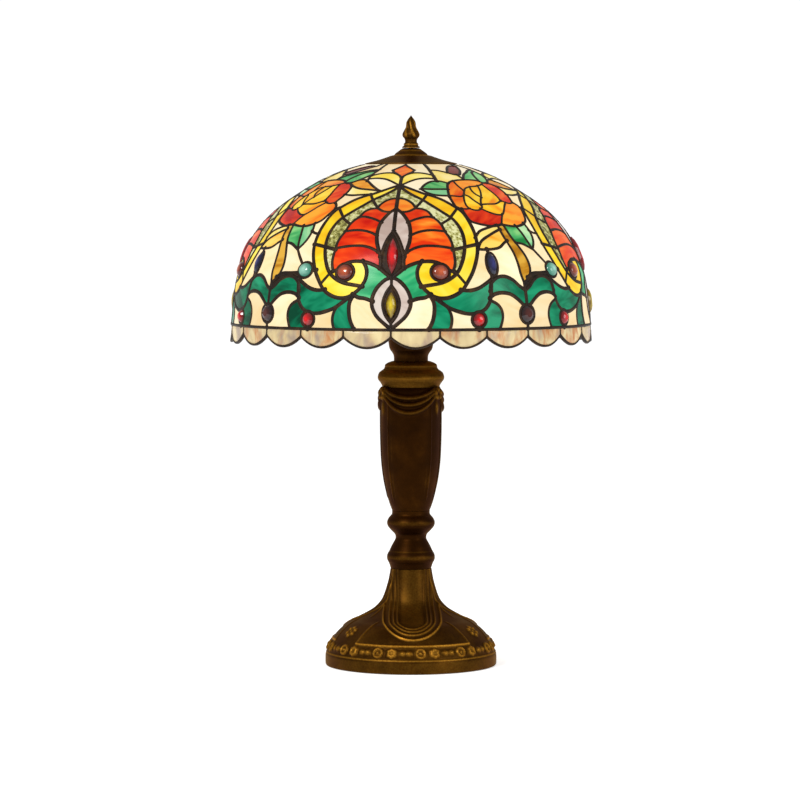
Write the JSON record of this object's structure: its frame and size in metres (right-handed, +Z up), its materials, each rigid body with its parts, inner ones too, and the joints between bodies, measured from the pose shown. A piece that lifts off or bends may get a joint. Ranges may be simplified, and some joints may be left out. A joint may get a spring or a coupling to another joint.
{
  "type": "stained glass table lamp",
  "caption": "Table lamp with a domed leaded glass shade of roses and shells over a scalloped skirt, on a cast bronze vase column and round relief foot.",
  "frame": {"origin": "centre of the foot's felt underside, on the table", "axes": "+Z up the lamp's stem, -Y towards the front of the lamp, +X to its right as seen from the front"},
  "size_m": [0.401, 0.401, 0.612],
  "materials": {
    "antique_bronze": "dark antique bronze, rubbed to a golden brown on the raised relief",
    "aged_brass": "satin, slightly tarnished",
    "zinc_steel": "zinc plated",
    "green_felt": "wool felt",
    "black_rubber": "matt",
    "wire_insulation": "smooth insulated wire",
    "black_phenolic": "moulded phenolic",
    "bulb_glass": "frosted inside, warm white",
    "solder": "lead and solder with a dark brown patina",
    "rose_glass": "streaky opalescent art glass, polished",
    "shell_glass": "streaky red-orange and mauve art glass, polished",
    "skirt_glass": "streaky beige and amber art glass, polished"
  },
  "bodies": {
    "stand": {"base_casting": "antique_bronze", "felt_pad": "green_felt", "cord_grommet": "black_rubber", "bottom_washer": "zinc_steel", "bottom_nut": "zinc_steel", "threaded_pipe": "aged_brass", "lower_knop": "antique_bronze", "vase_column": "antique_bronze", "column_collar": "antique_bronze", "neck_cup": "antique_bronze", "cluster_cover": "antique_bronze", "cluster_hub": "aged_brass", "socket_arm_left": "aged_brass", "socket_cap_left": "aged_brass", "socket_shell_left": "aged_brass", "socket_core_left": "black_phenolic", "socket_thread_left": "aged_brass", "socket_contact_left": "aged_brass", "chain_guide_left": "aged_brass", "lead_wire_left": "wire_insulation", "socket_arm_right": "aged_brass", "socket_cap_right": "aged_brass", "socket_shell_right": "aged_brass", "socket_core_right": "black_phenolic", "socket_thread_right": "aged_brass", "socket_contact_right": "aged_brass", "chain_guide_right": "aged_brass", "lead_wire_right": "wire_insulation", "riser_rod": "aged_brass", "riser_end": "aged_brass", "riser_nut": "zinc_steel", "shade_wheel": "zinc_steel"},
    "shade": {"rose_panel_front_right": "rose_glass", "rose_panel_right_back": "rose_glass", "rose_panel_back_left": "rose_glass", "rose_panel_left_front": "rose_glass", "shell_panel_front": "shell_glass", "shell_panel_right": "shell_glass", "shell_panel_back": "shell_glass", "shell_panel_left": "shell_glass", "skirt_front_right": "skirt_glass", "skirt_right_back": "skirt_glass", "skirt_back_left": "skirt_glass", "skirt_left_front": "skirt_glass", "rim_band": "solder", "top_ring": "solder", "heat_cap": "antique_bronze"},
    "finial_thread": {"finial_bush": "aged_brass"},
    "finial_knob": {"finial": "antique_bronze"},
    "bulb_thread_left": {"bulb_cap_left": "aged_brass"},
    "bulb_left": {"bulb_glass_left": "bulb_glass"},
    "switch_left": {"pull_chain_left": "aged_brass", "pull_bell_left": "aged_brass"},
    "bulb_thread_right": {"bulb_cap_right": "aged_brass"},
    "bulb_right": {"bulb_glass_right": "bulb_glass"},
    "switch_right": {"pull_chain_right": "aged_brass", "pull_bell_right": "aged_brass"}
  },
  "joints": [
    {"name": "shade_turn", "type": "hinge", "parent": "stand", "child": "shade", "pos_m": [0, 0, 0.5512], "axis": [0, 0, 1], "continuous": true},
    {"name": "finial_rise", "type": "slide", "parent": "stand", "child": "finial_thread", "axis": [0, 0, 1], "range_m": [0, 0.00376]},
    {"name": "finial_turn", "type": "hinge", "parent": "finial_thread", "child": "finial_knob", "pos_m": [0, 0, 0.58], "axis": [0, 0, 1], "range_deg": [0, 1440]},
    {"name": "bulb_out_left", "type": "slide", "parent": "stand", "child": "bulb_thread_left", "axis": [-0.9781, 0, 0.2079], "range_m": [0, 0.00728]},
    {"name": "bulb_turn_left", "type": "hinge", "parent": "bulb_thread_left", "child": "bulb_left", "pos_m": [0, 0, 0.414], "axis": [-0.9781, 0, 0.2079], "range_deg": [0, 720]},
    {"name": "pull_left", "type": "slide", "parent": "stand", "child": "switch_left", "axis": [0, 0, -1], "range_m": [0, 0.007], "stiffness_N_per_m": 300, "springref_m": -0.002},
    {"name": "bulb_out_right", "type": "slide", "parent": "stand", "child": "bulb_thread_right", "axis": [0.9781, 0, 0.2079], "range_m": [0, 0.00728]},
    {"name": "bulb_turn_right", "type": "hinge", "parent": "bulb_thread_right", "child": "bulb_right", "pos_m": [0, 0, 0.414], "axis": [0.9781, 0, 0.2079], "range_deg": [0, 720]},
    {"name": "pull_right", "type": "slide", "parent": "stand", "child": "switch_right", "axis": [0, 0, -1], "range_m": [0, 0.007], "stiffness_N_per_m": 300, "springref_m": -0.002}
  ],
  "couplings": [
    {"joint": "finial_turn", "follows": "finial_rise", "rad_per_m": 6666.7},
    {"joint": "bulb_turn_left", "follows": "bulb_out_left", "rad_per_m": 1724.1},
    {"joint": "bulb_turn_right", "follows": "bulb_out_right", "rad_per_m": 1724.1}
  ]
}
